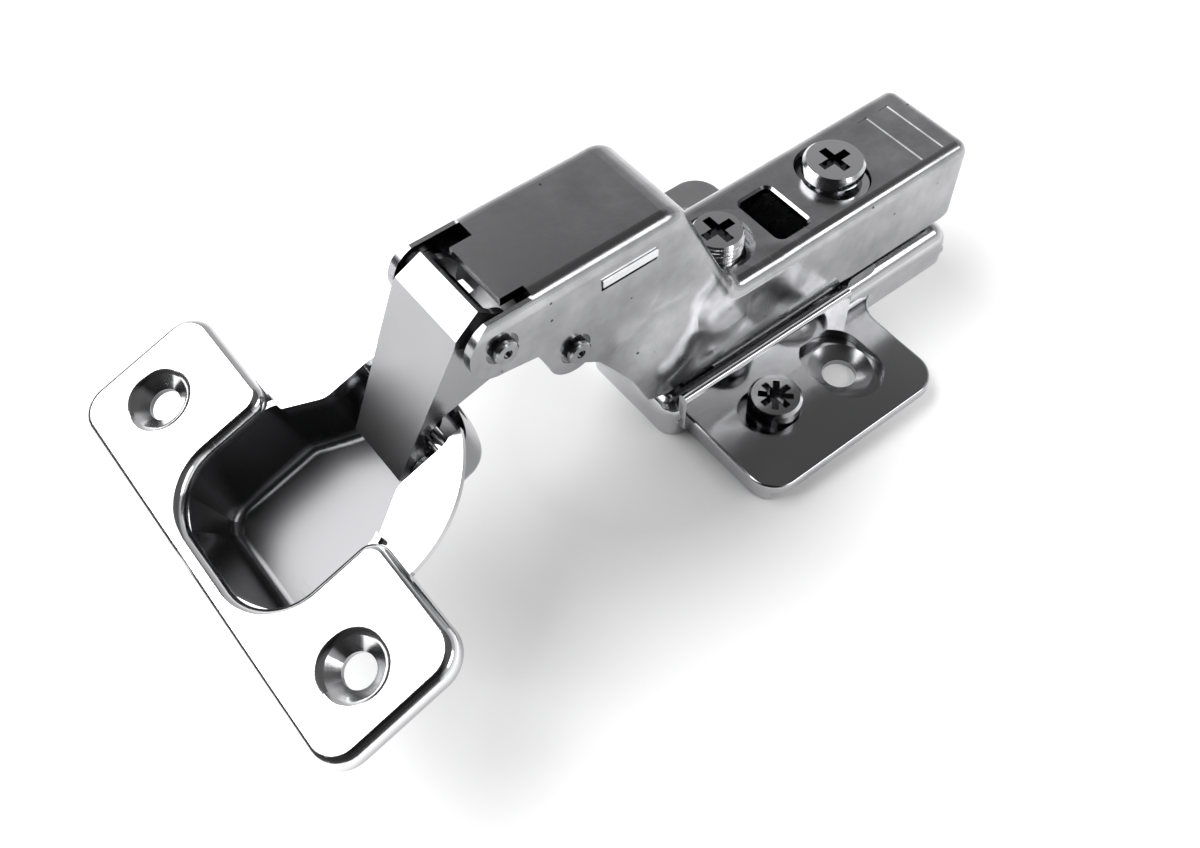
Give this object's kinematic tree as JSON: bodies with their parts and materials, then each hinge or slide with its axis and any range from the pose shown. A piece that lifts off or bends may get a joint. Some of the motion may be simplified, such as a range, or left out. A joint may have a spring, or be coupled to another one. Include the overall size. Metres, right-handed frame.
{
  "type": "concealed cup hinge",
  "caption": "Clip-on concealed cabinet hinge: a cranked arm on an adjustable cross plate, and a drawn cup with screw wings on two folded links.",
  "frame": {"origin": "on the cabinet side, midway between the two mounting screws", "axes": "+X from the plate towards the cup, +Y along the cabinet's front edge, +Z away from the cabinet side"},
  "size_m": [0.1208, 0.061, 0.0436],
  "materials": {
    "strip_steel": "plated, bright",
    "plate_nickel": "nickel plated, satin",
    "cam_nickel": "nickel plated, bright",
    "adapter_steel": "zinc plated",
    "lever_steel": "zinc plated",
    "pin_steel": "bright turned",
    "spring_steel": "blued spring steel",
    "arm_nickel": "nickel plated, drawn",
    "screw_nickel": "nickel plated, machined",
    "rivet_steel": "headed",
    "seat_steel": "plated, bright",
    "link_nickel": "nickel plated, bright",
    "link_dark": "nickel plated",
    "cup_nickel": "nickel plated, bright"
  },
  "bodies": {
    "base": {"base_strip": "strip_steel"},
    "plate": {"mounting_plate": "plate_nickel", "clip_adapter": "adapter_steel", "lever_pin": "pin_steel", "lever_spring": "spring_steel"},
    "height_screw": {"height_cam": "cam_nickel"},
    "lever": {"release_lever": "lever_steel"},
    "depth_screw": {"depth_cam": "screw_nickel"},
    "arm": {"arm": "arm_nickel", "front_rivet": "rivet_steel", "rear_rivet": "rivet_steel", "spring_seat": "seat_steel", "closing_spring": "spring_steel", "front_washers": "pin_steel", "rear_sleeves": "pin_steel"},
    "side_adjuster": {"side_screw": "screw_nickel"},
    "outer_link": {"outer_link": "link_nickel"},
    "inner_link": {"inner_link": "link_dark"},
    "cup": {"cup": "cup_nickel", "outer_cup_pin": "pin_steel", "inner_cup_pin": "pin_steel", "cup_sleeves": "pin_steel"}
  },
  "joints": [
    {"name": "height_slide", "type": "slide", "parent": "base", "child": "plate", "axis": [0, 1, 0], "range_m": [-0.0015, 0.0015]},
    {"name": "height_cam_turn", "type": "hinge", "parent": "base", "child": "height_screw", "pos_m": [0.0145, 0.0155, 0], "axis": [0, 0, 1], "range_deg": [-57, 57]},
    {"name": "release", "type": "hinge", "parent": "plate", "child": "lever", "pos_m": [-0.0225, 0, 0.012], "axis": [0, 1, 0], "range_deg": [0, 12], "stiffness_Nm_per_rad": 0.5, "springref_deg": -11.46},
    {"name": "depth_slide", "type": "slide", "parent": "plate", "child": "arm", "axis": [1, 0, 0], "range_m": [-0.00125, 0.00125]},
    {"name": "depth_cam_turn", "type": "hinge", "parent": "plate", "child": "depth_screw", "pos_m": [-0.0099, 0, 0], "axis": [0, 0, 1], "range_deg": [-57, 57]},
    {"name": "side_screw_turn", "type": "hinge", "parent": "arm", "child": "side_adjuster", "pos_m": [0.0115, 0, 0], "axis": [0, 0, 1], "range_deg": [-360, 360]},
    {"name": "outer_link_swing", "type": "hinge", "parent": "arm", "child": "outer_link", "pos_m": [0.0513, 0, 0.0389], "axis": [0, -1, 0], "range_deg": [-14, 1]},
    {"name": "door_swing", "type": "hinge", "parent": "outer_link", "child": "cup", "pos_m": [0.06171, 0, 0.02176], "axis": [0, -1, 0], "range_deg": [0, 121.6]},
    {"name": "inner_link_swing", "type": "hinge", "parent": "cup", "child": "inner_link", "pos_m": [0.0599, 0, 0.02589], "axis": [0, -1, 0], "range_deg": [-143, 1]}
  ],
  "couplings": [
    {"joint": "height_cam_turn", "follows": "height_slide", "rad_per_m": -656.74},
    {"joint": "depth_cam_turn", "follows": "depth_slide", "rad_per_m": -788.09},
    {"joint": "outer_link_swing", "follows": "door_swing", "ratio": -0.108},
    {"joint": "inner_link_swing", "follows": "door_swing", "ratio": -1.172}
  ]
}
